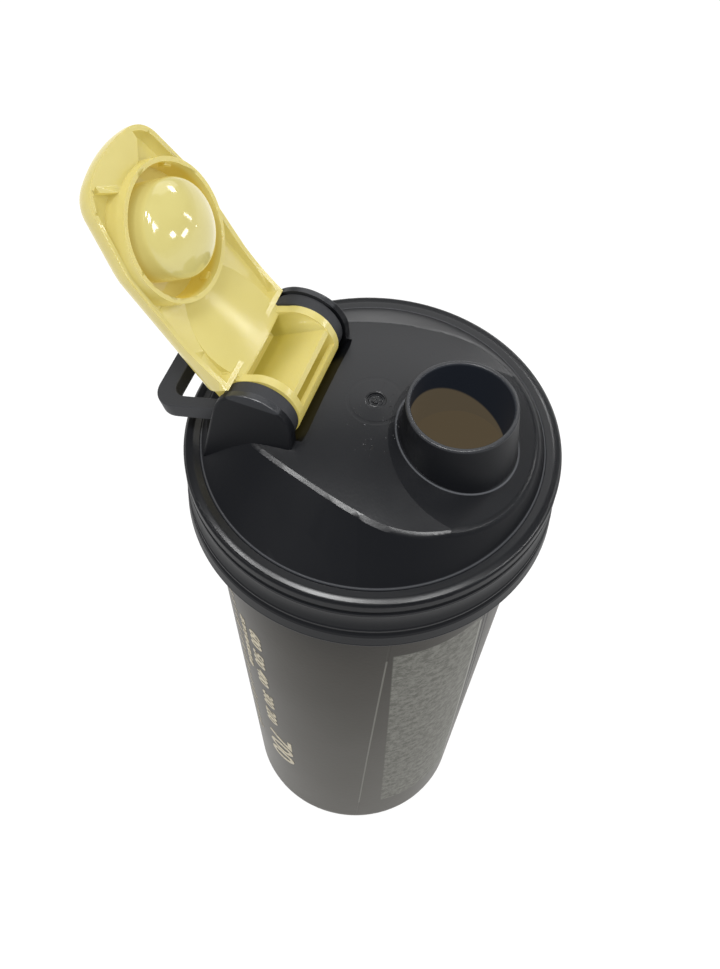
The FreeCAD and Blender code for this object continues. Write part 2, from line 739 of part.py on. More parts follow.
def build_cap_barrel(doc, d):
    """Barrel with its pocket, the web across the pocket and the blind pin holes."""
    body = new_body(doc, "cap_barrel")
    radius = d["barrel_radius"]
    sketch = new_sketch(body, "BarrelSide", "YZ_Plane")
    reach = d["cap_start"] + 1.7
    step = d["barrel_step"]
    draw(sketch, (0, -radius), [
        (radius, 0, 0, radius),
        (-reach, d["cap_back"]),
        (-reach, 2.8),
        (-step - 1, 1.6),
        (-step - 0.5, -2.2),
        (-radius * 0.72, -radius * 0.71, 0, -radius),
    ])
    pad(body, "BarrelBlock", sketch, "2 * Dimensions.barrel_half", True)
    pocket = new_sketch(body, "BarrelPocket", "YZ_Plane")
    inner = radius - 1.6
    strip = d["barrel_strip"]
    mouth = math.sqrt(inner ** 2 - strip ** 2)
    below = -2 * radius
    tongue_skin = 1.5
    draw(pocket, (strip, -mouth), [
        (inner * 0.94, inner * 0.342, 0, inner),
        (-step, d["pocket_roof"]),
        (-step, tongue_skin),
        (-reach - 1, tongue_skin),
        (-reach - 1, below),
        (strip, below),
        (strip, -mouth),
    ])
    pad(body, "BarrelPocketCut", pocket, "2 * (Dimensions.barrel_half - Dimensions.cheek)",
        True, "PartDesign::Pocket")
    web = new_sketch(body, "BarrelWeb", "YZ_Plane")
    web_front = -0.4
    web_back = web_front - d["barrel_web"]
    web_top = radius - 1
    web_low = 0.2 - radius
    draw(web, (web_front, web_low), [
        (web_front, web_top),
        (web_back, web_top),
        (web_back - 0.3, web_low),
        (web_front, web_low),
    ])
    pad(body, "BarrelWebPlate", web, "2 * Dimensions.barrel_half - Dimensions.cheek", True)
    depth = "Dimensions.cheek - 0.3"
    hole = d["pin_radius"] + d["pin_fit"]
    for name, offset, flip in (("PinHoleRight", "Dimensions.barrel_half - Dimensions.cheek + 0.3", True),
                               ("PinHoleLeft", "-(Dimensions.barrel_half - Dimensions.cheek + 0.3)", False)):
        sketch = new_sketch(body, name + "Plan", "YZ_Plane", offset)
        draw_circle(sketch, 0, 0, hole, "Dimensions.pin_radius + Dimensions.pin_fit")
        pad(body, name, sketch, depth + " + 1", False, "PartDesign::Pocket", flip)
    return body


def tongue_section(body, d, name, place, side, middle):
    """Cross-section of the tongue: a low arch from side to side under a flat top."""
    half = d["cap_half"] - 1
    top = d["cap_back"] - d["cap_floor"] + 0.6
    sketch = new_sketch(body, name, "XZ_Plane", "%g" % -place)
    draw(sketch, (-half, side), [
        (0, middle, half, side),
        (half, top),
        (-half, top),
        (-half, side),
    ])
    return sketch


def build_cap_tongue(doc, d):
    """Crowned tongue between the barrel and the ring."""
    body = new_body(doc, "cap_tongue")
    ring = d["ring_place"] + d["ring_radius"]
    near = tongue_section(body, d, "TongueNear", -d["barrel_step"], 1.2, 0.4)
    middle = tongue_section(body, d, "TongueMiddle", -d["barrel_step"] * 2.1, 5.2, 2.5)
    far = tongue_section(body, d, "TongueFar", ring - 1, 8.6, 6)
    loft = body.newObject("PartDesign::AdditiveLoft", "TongueArch")
    loft.Profile = near
    loft.Sections = [middle, far]
    return body


def build_tongue_plan(doc, d):
    """Plan of the tongue: bowed sides that draw in towards the ring."""
    body = new_body(doc, "tongue_plan")
    near = -d["barrel_step"]
    far = d["ring_place"] + d["ring_radius"] - 1
    middle = near + 0.48 * (far - near)
    inside = d["barrel_half"] - d["cheek"] + 0.6
    bow = d["barrel_half"] - 0.2
    tip = 0.4 * d["ring_radius"]
    sketch = new_sketch(body, "TonguePlan", "XY_Plane", "-2 * Dimensions.barrel_radius")
    draw(sketch, (inside, near), [
        (bow, middle, tip, far),
        (-tip, far),
        (-bow, middle, -inside, near),
        (inside, near),
    ])
    pad(body, "TonguePrism", sketch, "4 * Dimensions.barrel_radius")
    return body


def build_thumb_pad(doc, d):
    """Solid thumb pad between the ring and the tip, level with the rim."""
    body = new_body(doc, "cap_thumb_pad")
    start = d["ring_place"] - d["ring_radius"] + 1
    shoulder = -d["cap_reach"] + 4.8
    tip = -d["cap_reach"] - 2
    narrow = 4.8
    wide = 9.4
    sketch = new_sketch(body, "PadPlan", "XY_Plane", "Dimensions.cap_rim")
    draw(sketch, (-narrow, start), [
        (narrow, start),
        (wide, shoulder),
        (wide, tip),
        (-wide, tip),
        (-wide, shoulder),
        (-narrow, start),
    ])
    pad(body, "PadBlock", sketch, "Dimensions.cap_back - Dimensions.cap_rim - 0.5")
    return body


def build_cap(doc, d):
    """Flip cap at its opening angle about the hinge axis."""
    shell = build_cap_shell(doc, d)
    hollow = build_cap_hollow(doc, d)
    barrel = build_cap_barrel(doc, d)
    deck = build_cap_deck(doc, d)
    thumb = build_thumb_pad(doc, d)
    tongue = combine(doc, "MultiCommon", "Tongue", [build_cap_tongue(doc, d), build_tongue_plan(doc, d)])
    outer = add_primitive(doc, "Cylinder", "RingOutside", ("0", RING_PLACE, "Dimensions.ring_edge"), {
        "Radius": "Dimensions.ring_radius",
        "Height": "Dimensions.cap_back - Dimensions.cap_floor - Dimensions.ring_edge + 0.5"})
    well = add_primitive(doc, "Cylinder", "RingInside", ("0", RING_PLACE, "-20"), {
        "Radius": "Dimensions.ring_radius - Dimensions.ring_wall",
        "Height": "20 + Dimensions.cap_back - Dimensions.cap_floor"})
    ring_low = add_primitive(doc, "Cylinder", "RingBelowRim", ("0", RING_PLACE, "Dimensions.ring_edge"), {
        "Radius": "Dimensions.ring_radius",
        "Height": "Dimensions.cap_back / 2 - Dimensions.ring_edge"})
    inside = combine(doc, "MultiFuse", "CapInside", [outer, deck, thumb])
    inside = combine(doc, "MultiCommon", "CapInsideKept", [inside, shell])
    hollowed = combine(doc, "Cut", "CapHollowed", (shell, hollow))
    whole = combine(doc, "MultiFuse", "CapPieces", [hollowed, inside, ring_low, barrel, tongue])
    final = combine(doc, "Cut", "Cap", (whole, well))
    final.Label = "flip_cap"
    swing(final)
    return final


def swing(item):
    """Place a hinged cap piece at the opening angle."""
    item.Placement = Placement(Vector(), Rotation(Vector(-1, 0, 0), 90))
    tie(item, {"Placement.Base.y": "Dimensions.hinge_offset",
               "Placement.Base.z": HINGE_LEVEL,
               "Placement.Rotation.Angle": "Dimensions.cap_open"})


def build_plug(doc, d):
    """Hollow spout plug: a domed cup on a flange in the ring.

    The cup stands off the ring axis, so that it clears the near side of the spout as it swings.
    """
    body = new_body(doc, "spout_plug")
    high = d["cap_back"] - d["cap_floor"]
    low = high - d["plug_flange"]
    side = d["plug_radius"]
    wall = d["plug_wall"]
    soft = d["plug_round"]
    crown = -d["plug_depth"]
    shoulder = 0.4
    height = shoulder - crown
    sphere = (side ** 2 + height ** 2 - 2 * side * soft) / (2 * (height - soft))
    corner = (side - soft, shoulder)
    centre = (0, crown + sphere)
    meet = math.atan2(corner[1] - centre[1], corner[0])
    mid_corner = meet / 2
    mid_crown = (meet - math.pi / 2) / 2
    sketch = new_sketch(body, "PlugProfile", "XZ_Plane")
    draw(sketch, (side - wall, high), [
        (side, high),
        (side, shoulder),
        on_circle(corner, soft, mid_corner) + on_circle(centre, sphere, meet),
        on_circle(centre, sphere, mid_crown) + (0, crown),
        (0, crown + wall),
        on_circle(centre, sphere - wall, mid_crown) + on_circle(centre, sphere - wall, meet),
        on_circle(corner, soft - wall, mid_corner) + (side - wall, shoulder),
        (side - wall, high),
    ])
    turn(body, "PlugWall", sketch)
    flange = new_sketch(body, "PlugFlangePlan", "XY_Plane", "%g" % low)
    draw_circle(flange, 0, d["plug_shift"], d["ring_radius"] - d["ring_wall"],
                "Dimensions.ring_radius - Dimensions.ring_wall")
    draw_circle(flange, 0, 0, side - wall / 2, "Dimensions.plug_radius - Dimensions.plug_wall / 2")
    pad(body, "PlugFlange", flange, "Dimensions.plug_flange")
    angle = math.radians(d["cap_open"])
    away = d["ring_place"] - d["plug_shift"]
    body.Placement = Placement(
        Vector(0, d["hinge_offset"] + away * math.cos(angle),
               d["hinge_level"] - away * math.sin(angle)),
        Rotation(Vector(-1, 0, 0), d["cap_open"]))
    return body


def build_loop(doc, d):
    """Carry loop: a U of two arms and a bar, with round eyes on the hinge axis."""
    body = new_body(doc, "carry_loop")
    inner = d["barrel_half"] + d["gap"]
    outer = inner + d["eye_width"]
    start = d["eye_radius"] / 2
    reach = d["loop_reach"]
    bar = reach - d["loop_bar"]
    side = new_sketch(body, "EyeSide", "YZ_Plane")
    draw_circle(side, 0, 0, d["eye_radius"], "Dimensions.eye_radius")
    pad(body, "EyeBlock", side, "2 * (Dimensions.barrel_half + Dimensions.gap + Dimensions.eye_width)", True)
    between = new_sketch(body, "EyeGap", "YZ_Plane")
    draw_circle(between, 0, 0, 2 * d["eye_radius"], "2 * Dimensions.eye_radius")
    pad(body, "EyeGapCut", between, "2 * (Dimensions.barrel_half + Dimensions.gap)", True,
        "PartDesign::Pocket")
    plan = new_sketch(body, "LoopPlan", "XY_Plane")
    big = 7
    small = 4
    big_mid = big * (1 - math.sqrt(0.5))
    small_mid = small * (1 - math.sqrt(0.5))
    draw(plan, (inner, start), [
        (outer, start),
        (outer, reach - big),
        (outer - big_mid, reach - big_mid, outer - big, reach),
        (-outer + big, reach),
        (-outer + big_mid, reach - big_mid, -outer, reach - big),
        (-outer, start),
        (-inner, start),
        (-inner, bar - small),
        (-inner + small_mid, bar - small_mid, -inner + small, bar),
        (inner - small, bar),
        (inner - small_mid, bar - small_mid, inner, bar - small),
        (inner, start),
    ])
    pad(body, "LoopArms", plan, "Dimensions.loop_thick", True)
    bore = new_sketch(body, "EyeBore", "YZ_Plane")
    draw_circle(bore, 0, 0, d["pin_radius"] + d["pin_fit"], "Dimensions.pin_radius + Dimensions.pin_fit")
    pad(body, "EyeBoreCut", bore, "4 * Dimensions.barrel_half", True, "PartDesign::Pocket")
    body.Placement = Placement(Vector(), Rotation(Vector(-1, 0, 0), 90))
    tie(body, {"Placement.Base.y": "Dimensions.hinge_offset",
               "Placement.Base.z": HINGE_LEVEL,
               "Placement.Rotation.Angle": "Dimensions.loop_droop"})
    return body


def build_ball(doc, d):
    """Mixing ball: one springy wire coiled up to a ball."""
    wire = d["ball_wire"] / 2
    radius = d["ball_radius"] - wire
    halves = int(round(2 * d["ball_turns"]))
    reach = radius * 0.93
    corners = []
    for number in range(halves + 1):
        height = -reach + 2 * reach * number / halves
        out = math.sqrt(radius ** 2 - height ** 2) * (-1) ** number
        corners.append(Vector(out, 0, height))
    arcs = []
    for number in range(halves):
        first = corners[number]
        second = corners[number + 1]
        middle = (first + second) * 0.5
        bulge = (second - first).Length / 2 * (-1) ** number
        arcs.append(Part.Arc(first, middle + Vector(0, bulge, 0), second).toShape())
    path = Part.Wire(arcs)
    section = Part.Wire([Part.makeCircle(wire, corners[0], Vector(0, 1, 0))])
    ball = doc.addObject("Part::Feature", "MixingBall")
    ball.Shape = path.makePipeShell([section], True, False)
    ball.Label = "mixing_ball"
    ball.Placement = Placement(Vector(0, 0, d["cup_floor"] + d["gap"] + reach + wire), Rotation())
    return ball


def check(doc):
    """Stop when a feature failed or a shape is not valid."""
    for item in doc.Objects:
        if "Invalid" in item.State or "Error" in item.State:
            raise ValueError("feature failed: " + item.Name)


def export(item):
    shape = item.Shape
    if shape.isNull() or not shape.isValid():
        raise ValueError("bad shape: " + item.Label)
    shape.exportStep(os.path.join("parts", item.Label + ".step"))
    print(item.Label, "solids", len(shape.Solids), "volume", round(shape.Volume), shape.BoundBox)


def main():
    doc = FreeCAD.newDocument("ShakerBottle")
    d = build_sheet(doc)
    pieces = [build(doc, d) for build in (build_cup, build_seal, build_lid, build_cap, build_plug,
                                          build_loop, build_ball)]
    doc.recompute()
    check(doc)
    os.makedirs("parts", exist_ok=True)
    for piece in pieces:
        export(piece)


main()
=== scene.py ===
import json
import math

import bmesh
import bpy
from mathutils import Matrix, Vector
from mathutils.bvhtree import BVHTree
from mathutils.interpolate import poly_3d_calc


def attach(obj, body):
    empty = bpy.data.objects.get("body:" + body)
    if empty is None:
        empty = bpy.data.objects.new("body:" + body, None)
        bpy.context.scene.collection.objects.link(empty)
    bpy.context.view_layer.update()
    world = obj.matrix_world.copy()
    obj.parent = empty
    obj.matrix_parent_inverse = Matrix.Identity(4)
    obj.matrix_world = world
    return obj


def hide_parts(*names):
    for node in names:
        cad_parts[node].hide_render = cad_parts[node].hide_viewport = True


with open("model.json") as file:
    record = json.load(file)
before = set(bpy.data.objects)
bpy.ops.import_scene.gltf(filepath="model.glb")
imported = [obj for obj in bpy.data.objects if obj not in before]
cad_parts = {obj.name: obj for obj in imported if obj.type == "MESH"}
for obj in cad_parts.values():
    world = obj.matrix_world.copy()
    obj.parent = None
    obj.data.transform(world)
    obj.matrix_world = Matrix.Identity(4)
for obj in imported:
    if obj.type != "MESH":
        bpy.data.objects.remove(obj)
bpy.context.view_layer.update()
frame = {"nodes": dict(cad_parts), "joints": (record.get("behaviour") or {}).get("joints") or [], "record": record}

# Protein shaker bottle: looks of the cup, the lid, the flip cap and the loop.
# Lengths are in metres and angles round the bottle in degrees from +X.
# The bottle axis is X = Y = 0, and the spout is towards -Y.

MM = 0.001

MOUNTS = {mount["name"]: mount for mount in frame["record"]["mounts"]}
JOINTS = {joint["name"]: joint for joint in frame["joints"]}
HINGE = Vector(JOINTS["cap_hinge"]["pos_m"])
FLANGE_LEVEL = JOINTS["lid_turn"]["pos_m"][2]
SPOUT = Vector(MOUNTS["spout"]["pos_m"])

# Lid: radii round the bottle axis, or round the spout's for the spout, and heights over the flange.
DOME_FOOT = 44.5 * MM
FLANGE_EDGE = (46.4 * MM, 49.2 * MM)   # the rounded outer edge, from its start to its end
TOP_HEIGHT = 17 * MM                   # the flat top lies higher than this
TOP_RING = 7 * MM                      # faint ring round the gate mark
GATE_RING = 2.2 * MM
GATE_SPOT = 1.7 * MM                   # rough spot inside the gate ring
SPECKS_AT = (-6 * MM, -4 * MM)         # the specks lie round this place
SPECKS_REACH = (13 * MM, 4 * MM)       # from none to all of them
UPRIGHT = (0.84, 0.74)                 # a normal's Z from level plastic to upright
SPOUT_FOOT = 15.7 * MM
SPOUT_BORE = 13 * MM
SPOUT_RIM = 27.9 * MM                  # height of the spout's rim
BORE_LIT_HEIGHT = 15.2 * MM            # light from the cup reaches this height on the spout's axis
BORE_LIT_SLOPE = 0.5                   # and climbs this much per unit towards the hinge

# Places of the lid's sharp edges that are rounded.
EARS_HEIGHT, EARS_FRONT = 5 * MM, 8 * MM          # the ears and the trough are higher and further back
SLOPE_HEIGHT, DOME_HEIGHT = 8 * MM, 0.5 * MM      # lowest places of the spout's foot and of the dome's
SPOUT_FOOT_ZONE = (14 * MM, 17 * MM)
DOME_FOOT_ZONE = (44 * MM, 47 * MM)

# Flip cap: distances from its hinge and its ring, with the cap open.
CAP_OPEN = -math.radians(JOINTS["cap_hinge"]["range_deg"][0])   # from closed to the place at rest
RING_REACH = 47.2 * MM                 # from the hinge to the middle of the ring
RING_BORE = 15.8 * MM                  # inner radius of that ring
WELL_TOP, WELL_FLOOR = (1.6 * MM, 4 * MM), (10.8 * MM, 10.4 * MM)       # painted amber shade and glow between these depths
POCKET_TOP, POCKET_FLOOR = (-8 * MM, 5 * MM), (7.2 * MM, 6.8 * MM)      # the same in the barrel's pocket
POCKET_FRONT = (-9.5 * MM, -8.2 * MM)  # along the cap from the hinge
# The plug's painted glow turns deeper amber over these depths and these distances off the ring's axis.
PLUG_FOOT_DEPTH, PLUG_FOOT_REACH = (2.5 * MM, 7 * MM), (8 * MM, 11.5 * MM)
LUG_ANGLES = (-41, 85, 165)            # places of the snap lugs round the ring
LUG_SIZE = (1.4 * MM, 2.4 * MM, 2.2 * MM)
LUG_DEPTH = 4 * MM

# Rounding of the sharp edges of the CAD pieces.
SHARP = math.radians(32)
LID_ROUNDING, CAP_ROUNDING, LOOP_ROUNDING = 0.4 * MM, 0.35 * MM, 0.4 * MM

# Cup: its outer wall, and the printed panel, whose sides lean a little.
CUP_FOOT = 33.7 * MM                   # outer radius at the base
CUP_TAPER = 0.0643                     # growth of that radius per unit of height
CUP_INSIDE = 31.9 * MM                 # inner radius at the base
CUP_PAINTED_SHADE = (20 * MM, 165 * MM)        # painted shade: the smoke grey darkens between these heights, lit by the floor below and shaded under the lid above
PANEL_LOW, PANEL_HIGH = 21 * MM, 146 * MM
PANEL_START, PANEL_END = 211.5, 252    # angles of the panel's sides at the tilt level
START_TILT, END_TILT = 3, 8            # degrees that each side leans over the tilt span
TILT_LEVEL, TILT_SPAN = 94 * MM, 73 * MM
PANEL_SOFT = 0.8                       # degrees over which a side fades
BORDER_START = 205.5                   # angle of the thin line before the panel
BORDER_END = 1.2                       # the other line and the grooves lie past the panel's end
GROOVES = ((2.4, 0.35, 0.3), (4.6, 0.5, 0.4))     # place, half of the width and soft side
GROOVES_FADE = (50 * MM, 90 * MM)      # they start between these heights

# Printed scale: text, size of the letters, angle and height of its middle.
SCALE_TEXTS = (
    ("600  500  400", 6.5 * MM, 151, 112 * MM),
    ("300  200", 6.5 * MM, 152.5, 77 * MM),
    ("700", 14 * MM, 156, 48 * MM),
    ("25 30 35 40 45 50 55 60", 3.2 * MM, 143, 115 * MM),
)
BAR_ANGLE = 137
BAR_COUNT, BAR_START, BAR_STEP = 21, 45 * MM, 4.9 * MM
LONG_BAR, SHORT_BAR, BAR_WIDTH = 4.5 * MM, 2.6 * MM, 0.35 * MM
LONG_EVERY = 5                         # every fifth bar is long
INK_DEPTH = 0.08 * MM
INK_LIFT = 0.06 * MM                   # from the wall to the middle of a letter, or to the back of a bar
LETTER_BOLDNESS = 0.16 * MM
FLAT_LIMIT = 2 * MM                    # longest straight edge that may follow the round wall

# Lights: name, azimuth and elevation in degrees, width and height, watts.
LIGHT_DISTANCE = 1.3                   # from the lid
LIGHTS = (
    ("ceiling", 158, 68, (0.28, 0.28), 9.5),
    ("ceiling_near", -170, 70, (0.14, 0.14), 2.8),
    ("ceiling_back", 116, 54, (0.18, 0.18), 4),
    ("ceiling_front", -122, 56, (0.45, 0.35), 7.5),
    ("right_window", -18, 32, (0.16, 0.16), 1.5),
    ("front_window", -92, 27, (0.16, 0.16), 2),
    ("tall_window", -52, 18, (0.07, 0.3), 1),
    ("low_window", -75, 14, (0.3, 0.12), 1.9),
    ("far_card", 12, 40, (1.2, 1.0), 4.5),
)

# Colours: what a plastic is made of, painted light and shade, and painted glow for the light that comes through
# it.
BLACK = (0, 0, 0)
WHITE = (1, 1, 1)
# Lid: black, and a painted highlight for the lit lines along the spout's foot and rim and the dome's foot.
LID_BLACK, LID_HIGHLIGHT = (0.006, 0.0065, 0.008), (0.075, 0.078, 0.085)
# Spout's bore: a painted glow, dim in its shade and brighter where the light from the cup reaches.
BORE_SHADE, BORE_LIT = (0.005, 0.007, 0.011), (0.071, 0.055, 0.034)
CAP_LIGHT, CAP_DARK = (0.335, 0.302, 0.125), (0.31, 0.277, 0.112)
# Well and pocket: darker amber, painted shade where the cap lies deep.
WELL_PAINTED_SHADE, POCKET_PAINTED_SHADE = (0.32, 0.25, 0.05), (0.225, 0.188, 0.04)
# Painted glow: the cap glows all over, weaker and more amber in the well and the pocket.
CAP_GLOW, WELL_GLOW, POCKET_GLOW = (0.27, 0.215, 0.045), (0.25, 0.17, 0.018), (0.17, 0.133, 0.016)
PLUG_LIGHT, PLUG_DARK = (0.285, 0.26, 0.108), (0.26, 0.232, 0.092)
# Plug: a painted glow, deeper amber round its foot.
PLUG_GLOW, PLUG_FOOT_GLOW = (0.3, 0.255, 0.075), (0.24, 0.165, 0.02)
LOOP_GREY = (0.033, 0.034, 0.037)
# Cup: smoke grey painted lighter by the floor's light, and darker in the painted shade under the lid.
CUP_LOW_LIT, CUP_HIGH_SHADED = (0.068, 0.0645, 0.056), (0.024, 0.021, 0.016)
# Painted glow on the inside of the cup, for light that comes through its wall.
CUP_GLOW = (0.08, 0.061, 0.037)
PANEL_DARK, PANEL_LIGHT = (0.09, 0.09, 0.078), (0.185, 0.185, 0.165)
# A lighter grey for the border lines, and near black for painted shade in the grooves.
BORDER_GREY, GROOVE_SHADE = (0.24, 0.24, 0.21), (0.01, 0.0095, 0.009)
GOLD_WORN, GOLD = (0.42, 0.37, 0.26), (0.58, 0.52, 0.38)
SILICONE = (0.72, 0.72, 0.70)
STEEL = (0.62, 0.62, 0.62)
PAPER = (0.1, 0.1, 0.1)
PAPER_GLOW = 0.93                      # keeps the floor pale far from the lights

# Room: reach of the floor, and the light of the room, which fades between two heights of sight.
FLOOR_REACH = 30
ROOM_FADE = {"From Min": 0.04, "From Max": 0.26, "To Min": 0.55, "To Max": 0.12}


class Signal:
    """An output socket of a finish; sums and products of numbers add Math nodes."""

    def __init__(self, finish, socket):
        self.finish = finish
        self.socket = socket

    def math(self, operation, first, second):
        return self.finish.node("ShaderNodeMath", {"operation": operation}, {0: first, 1: second})

    def __add__(self, other):
        return self.math("ADD", self, other)

    def __sub__(self, other):
        return self.math("SUBTRACT", self, other)

    def __rsub__(self, other):
        return self.math("SUBTRACT", other, self)

    def __mul__(self, other):
        return self.math("MULTIPLY", self, other)

    def __truediv__(self, other):
        return self.math("DIVIDE", self, other)

    __radd__ = __add__
    __rmul__ = __mul__

    def step(self, start, end):
        """0 below start and 1 above end, or the other way round where end is less."""
        inputs = {"Value": self, "From Min": start, "From Max": end}
        return self.finish.node("ShaderNodeMapRange", {"interpolation_type": "SMOOTHSTEP"}, inputs)

    def band(self, low, high, soft):
        """1 between low and high, with soft sides."""
        return self.step(low - soft, low) * self.step(high + soft, high)

    def near(self, place, half, soft):
        """1 within half of a place, with soft sides."""
        return self.band(place - half, place + half, soft)


class Finish:
    """One procedural material, built on object coordinates."""

    def __init__(self, name, **values):
        self.material = bpy.data.materials.new(name)
        self.material.use_nodes = True
        self.tree = self.material.node_tree
        self.shader = self.tree.nodes["Principled BSDF"]
        self.set_all(values)

    def set_all(self, values):
        for name, value in values.items():
            self.set(name.replace("_", " "), value)

    def set(self, name, value):
        self.feed(self.shader.inputs[name], value)

    def feed(self, socket, value):
        """Link a signal to a socket, or give the socket a number or a colour."""
        if isinstance(value, Signal):
            self.tree.links.new(value.socket, socket)
        elif isinstance(value, tuple) and socket.type == "RGBA":
            socket.default_value = (*value, 1)
        else:
            socket.default_value = value

    def over(self, mask, **values):
        """Second plastic where the mask is 1; later settings go to this one."""
        first = Signal(self, self.shader.outputs[0])
        self.shader = self.tree.nodes.new("ShaderNodeBsdfPrincipled")
        self.set_all(values)
        second = Signal(self, self.shader.outputs[0])
        blend = self.node("ShaderNodeMixShader", {}, {0: mask, 1: first, 2: second})
        self.feed(self.tree.nodes["Material Output"].inputs[0], blend)

    def node(self, kind, settings, inputs, output=0):
        """Any node, with its settings made before its inputs are fed."""
        item = self.tree.nodes.new(kind)
        for name, value in settings.items():
            setattr(item, name, value)
        for name, value in inputs.items():
            self.feed(item.inputs[name], value)
        return Signal(self, item.outputs[output])

    def parts(self, vector):
        """X, Y and Z of a vector."""
        split = self.node("ShaderNodeSeparateXYZ", {}, {0: vector})
        return [Signal(self, socket) for socket in split.socket.node.outputs]

    def place(self):
        return self.node("ShaderNodeTexCoord", {}, {}, "Object")

    def axes(self):
        """X, Y and Z of a point, in metres."""
        return self.parts(self.place())

    def upward(self):
        """1 on level faces, 0 on upright ones."""
        return self.parts(self.node("ShaderNodeNewGeometry", {}, {}, "Normal"))[2]

    def length(self, x, y):
        return self.node("ShaderNodeMath", {"operation": "SQRT"}, {0: x * x + y * y})

    def angle(self, x, y):
        """Angle round the bottle axis, from 180 to 540 degrees."""
        turn = self.node("ShaderNodeMath", {"operation": "ARCTAN2"}, {0: y, 1: x})
        return turn * (180 / math.pi) + 360

    def noise(self, scale, detail=2.0, rough=0.5, place=None):
        inputs = {"Vector": place or self.place(), "Scale": scale, "Detail": detail, "Roughness": rough}
        return self.node("ShaderNodeTexNoise", {}, inputs)

    def mix(self, factor, first, second):
        """First colour where the factor is 0, second where it is 1."""
        return self.node("ShaderNodeMix", {"data_type": "RGBA"}, {0: factor, 6: first, 7: second}, 2)

    def bump(self, height, depth):
        """Relief that rises by depth, in metres, where its signal rises by 1."""
        return self.node("ShaderNodeBump", {}, {"Height": height, "Distance": depth, "Strength": 1.0})


def lid_relief(finish, out, x, y, over):
    """Grain, gate mark and specks of the top, and the rounded edge of the flange."""
    grain = finish.noise(1400, 2)
    top = over.step(TOP_HEIGHT, TOP_HEIGHT + 1 * MM)
    ring = out.near(TOP_RING, 0.2 * MM, 0.5 * MM) * 0.5
    spot = out.step(GATE_SPOT, GATE_SPOT - 0.5 * MM) * finish.noise(1100, 2).step(0.4, 0.6)
    gate = out.near(GATE_RING, 0.25 * MM, 0.3 * MM) + spot
    beside = finish.length(x - SPECKS_AT[0], y - SPECKS_AT[1]).step(*SPECKS_REACH)
    specks = finish.noise(900, 1).step(0.7, 0.76) * beside
    edge = out.step(*FLANGE_EDGE) * over.step(-1.4 * MM, -1.2 * MM)
    marks = (ring + gate * 3.0 + specks * 2.0) * top
    return finish.bump(grain * 0.4 - marks - edge * 24, 0.035 * MM)


def lid_highlight_lines(off_spout, out, over):
    """Painted highlights: lighter lines along the foot and the rim of the spout, and along the foot of the dome.
    """
    foot = off_spout.near(SPOUT_FOOT, 0.1 * MM, 0.25 * MM) * over.step(22 * MM, 18 * MM)
    rim = over.step(SPOUT_RIM - 0.9 * MM, SPOUT_RIM - 0.4 * MM) * 0.3
    dome = out.near(DOME_FOOT, 0.08 * MM, 0.25 * MM) * 0.6
    return (foot + rim + dome) * over.step(-1 * MM, 0)


def lid_finish():
    """Black plastic: satin on top, duller on the slopes, the upright sides and the skirt, with painted highlight
    lines and a painted glow in the spout's bore.
    """
    finish = Finish("lid_satin_black")
    x, y, z = finish.axes()
    out = finish.length(x, y)
    off_spout = finish.length(x, y - SPOUT.y)
    over = z - FLANGE_LEVEL
    relief = lid_relief(finish, out, x, y, over)
    # Painted highlights: the lighter lines stand in for light caught on those edges.
    colour = finish.mix(lid_highlight_lines(off_spout, out, over), LID_BLACK, LID_HIGHLIGHT)
    finish.set("Base Color", colour)
    finish.set("Roughness", 0.27 + finish.noise(55, 3) * 0.08)
    finish.set("Normal", relief)
    side = finish.upward().step(*UPRIGHT)
    finish.over(side, Base_Color=colour, Roughness=0.42, Specular_IOR_Level=0.11, Normal=relief,
                Emission_Strength=1.0)
    # Painted glow: the spout's bore glows with the light that comes up through the cup.
    bore = off_spout.step(SPOUT_BORE + 0.3 * MM, SPOUT_BORE)
    lit = (over - BORE_LIT_SLOPE * (y - SPOUT.y)).step(BORE_LIT_HEIGHT, BORE_LIT_HEIGHT - 1 * MM)
    wall = finish.mix(lit, BORE_SHADE, BORE_LIT)
    finish.set("Emission Color", finish.mix(bore, BLACK, wall))
    return finish


def cap_place(finish):
    """Distance from the hinge along the open cap, depth into it, and distance off its ring's axis."""
    x, y, z = finish.axes()
    turn, lift = math.cos(CAP_OPEN), math.sin(CAP_OPEN)
    y = y - HINGE.y
    z = z - HINGE.z
    along = y * turn - z * lift
    depth = y * lift + z * turn
    return along, depth, finish.length(x, along + RING_REACH)


def cap_finish():
    """Pale yellow plastic that lets light through, with a painted glow all over and painted amber shade and glow
    where it lies deep.
    """
    finish = Finish("cap_pale_yellow", Subsurface_Weight=0.12, Subsurface_Scale=4 * MM,
                    Subsurface_Radius=(1.0, 0.7, 0.2), Emission_Strength=1.0)
    along, depth, off_ring = cap_place(finish)
    cloud = finish.noise(80, 3)
    well = off_ring.step(RING_BORE + 0.5 * MM, RING_BORE)
    well = well * depth.step(*WELL_TOP) * depth.step(*WELL_FLOOR)
    pocket = along.step(*POCKET_FRONT) * depth.step(*POCKET_TOP) * depth.step(*POCKET_FLOOR)
    body = finish.mix(cloud.step(0.3, 0.75), CAP_LIGHT, CAP_DARK)
    # Painted shade: darker amber in the ring's well and the barrel's pocket.
    body = finish.mix(well, body, WELL_PAINTED_SHADE)
    finish.set("Base Color", finish.mix(pocket, body, POCKET_PAINTED_SHADE))
    # Painted glow all over the cap, weaker and more amber where it lies deep.
    glow = finish.mix(well, CAP_GLOW, WELL_GLOW)
    finish.set("Emission Color", finish.mix(pocket, glow, POCKET_GLOW))
    finish.set("Roughness", 0.15 + cloud * 0.1)
    finish.set("Normal", finish.bump(finish.noise(900, 2), 0.01 * MM))
    return finish


